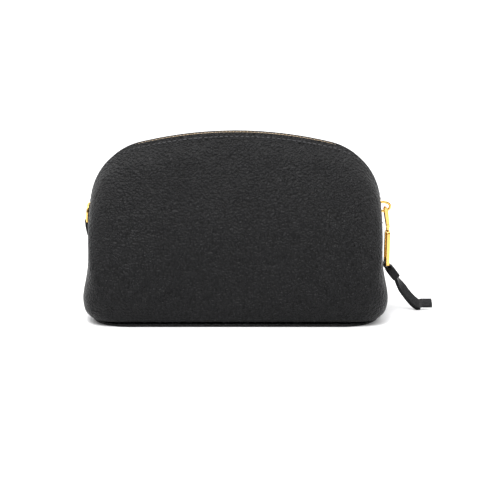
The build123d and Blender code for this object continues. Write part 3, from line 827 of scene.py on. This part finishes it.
def link():
    """The link: two rounded cheeks that taper towards the rivet, joined by the bar inside the bail."""
    low, high = (np.array(corner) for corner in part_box("pull_link"))
    top = np.array(JOINTS["link_swing"]["pos_m"])
    foot = np.array(JOINTS["pull_swing"]["pos_m"])
    axis = (foot - top) / np.linalg.norm(foot - top)
    share = np.linspace(0, 1, 24)
    reach = np.linalg.norm(foot - top)
    travel = -1.5 * MM + share * (reach + 2.9 * MM)
    ends = np.sqrt(np.clip(1 - (2 * share - 1) ** 8, 0.08, 1))
    width = (3.2 - 0.7 * share) * MM * ends
    sideways = np.array([-axis[2], 0, axis[0]])
    for side, name in ((-1, "front"), (1, "rear")):
        path = top + axis * travel[:, None] + np.array([0, side * (high[1] - CHEEK / 2), 0])
        piece = ribbon(f"link_cheek_{name}", path, sideways, width, CHEEK, 0.5)
        finish_piece(piece, "link", "gold_metal", GOLD, "pull_link")
    bar_y = np.linspace(low[1] + 0.4 * MM, high[1] - 0.4 * MM, 8)
    bar = np.stack([np.full(8, top[0]), bar_y, np.full(8, top[2])], axis=-1)
    finish_piece(tube("link_bar", bar, (1, 0, 0), 1.6 * MM, 1.6 * MM, False), "link", "gold_metal", GOLD)


def frame_loop():
    """The frame: a long loop of flat bar with rounded corners, and a lug for the rivet at its top."""
    low, high = (np.array(corner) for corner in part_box("pull_frame"))
    rivet = np.array(JOINTS["pull_swing"]["pos_m"])
    top = rivet[2] - 4.1 * MM
    foot = CROSSBAR[2]
    half = (high[1] - low[1] - 1.4 * MM) / 2
    corners = [[rivet[0], y, z] for y, z in ((-half, foot), (half, foot), (half, top), (-half, top))]
    path = round_corners(corners, 1.2 * MM)
    piece = tube("frame_loop", path, (1, 0, 0), high[0] - low[0], 1.35 * MM, True)
    finish_piece(piece, "pull", "gold_metal", GOLD, "pull_frame")
    lug = np.stack([np.full(12, rivet[0]), np.zeros(12), np.linspace(top, rivet[2] + 0.9 * MM, 12)], axis=-1)
    finish_piece(ribbon("frame_lug", lug, (1, 0, 0), 2.5 * MM, 1.7 * MM, 0.5), "pull", "gold_metal", GOLD)


bail()
link()
frame_loop()

# ---------------------------------------------------------------- floor, light and camera


def point_at(holder, place, aim):
    """Puts an object at a place and turns it to look at the aim."""
    holder.location = place
    holder.rotation_euler = (Vector(aim) - Vector(place)).to_track_quat("-Z", "Y").to_euler()


def stage():
    """A pale floor, a surround that is brightest above and behind, an overhead light and two soft lamps."""
    corners = np.array([[-6.0, -3, 0], [6, -3, 0], [6, 9, 0], [-6, 9, 0]])
    floor = mesh_object("floor", corners, np.array([[0, 1, 2, 3]]), False)
    material, tree, shader = base_material("pale floor", 0.6)
    shader.inputs["Base Color"].default_value = (0.88, 0.88, 0.885, 1)
    shader.inputs["Specular IOR Level"].default_value = 0.2
    floor.data.materials.append(material)
    world = bpy.data.worlds.new("studio")
    world.use_nodes = True
    tree = world.node_tree
    tree.nodes["Background"].inputs["Color"].default_value = (1, 1, 1, 1)
    spread = tree.nodes.new("ShaderNodeSeparateXYZ")
    tree.links.new(tree.nodes.new("ShaderNodeTexCoord").outputs["Generated"], spread.inputs[0])
    behind = math_node(tree, "MULTIPLY", spread.outputs["Y"], 0.5)
    toward = math_node(tree, "ADD", behind, spread.outputs["Z"])
    light = tree.nodes.new("ShaderNodeMapRange")
    light.interpolation_type = "SMOOTHSTEP"
    for label, value in (("From Min", -0.2), ("From Max", 0.9), ("To Min", 0.03), ("To Max", 2.0)):
        light.inputs[label].default_value = value
    tree.links.new(toward, light.inputs["Value"])
    tree.links.new(light.outputs["Result"], tree.nodes["Background"].inputs["Strength"])
    bpy.context.scene.world = world
    bpy.context.scene.view_settings.view_transform = "Standard"
    sun = bpy.data.lights.new("overhead", "SUN")
    sun.energy = 0.35
    sun.angle = math.radians(70)
    holder = bpy.data.objects.new("overhead", sun)
    bpy.context.scene.collection.objects.link(holder)
    point_at(holder, (-0.1, 0.1, 1.2), (0, 0, 0))
    for name, place, aim, size, power in (
        ("key", (-0.20, -0.42, 1.00), (0, 0, 0.09), 0.40, 8),
        ("right", (0.95, -0.35, 0.45), (0.08, 0, 0.05), 0.4, 1.2),
    ):
        lamp = bpy.data.lights.new(name, "AREA")
        lamp.shape = "SQUARE"
        lamp.size = size
        lamp.energy = power
        holder = bpy.data.objects.new(name, lamp)
        bpy.context.scene.collection.objects.link(holder)
        point_at(holder, place, aim)


def camera():
    """A level view of the front from a little above, far enough away for a flat perspective."""
    lens = bpy.data.cameras.new("camera")
    lens.lens = 68
    lens.sensor_width = 36
    holder = bpy.data.objects.new("camera", lens)
    bpy.context.scene.collection.objects.link(holder)
    point_at(holder, (0.003, -0.638, 0.190), (0.0032, 0, 0.052))
    bpy.context.scene.camera = holder


stage()
camera()
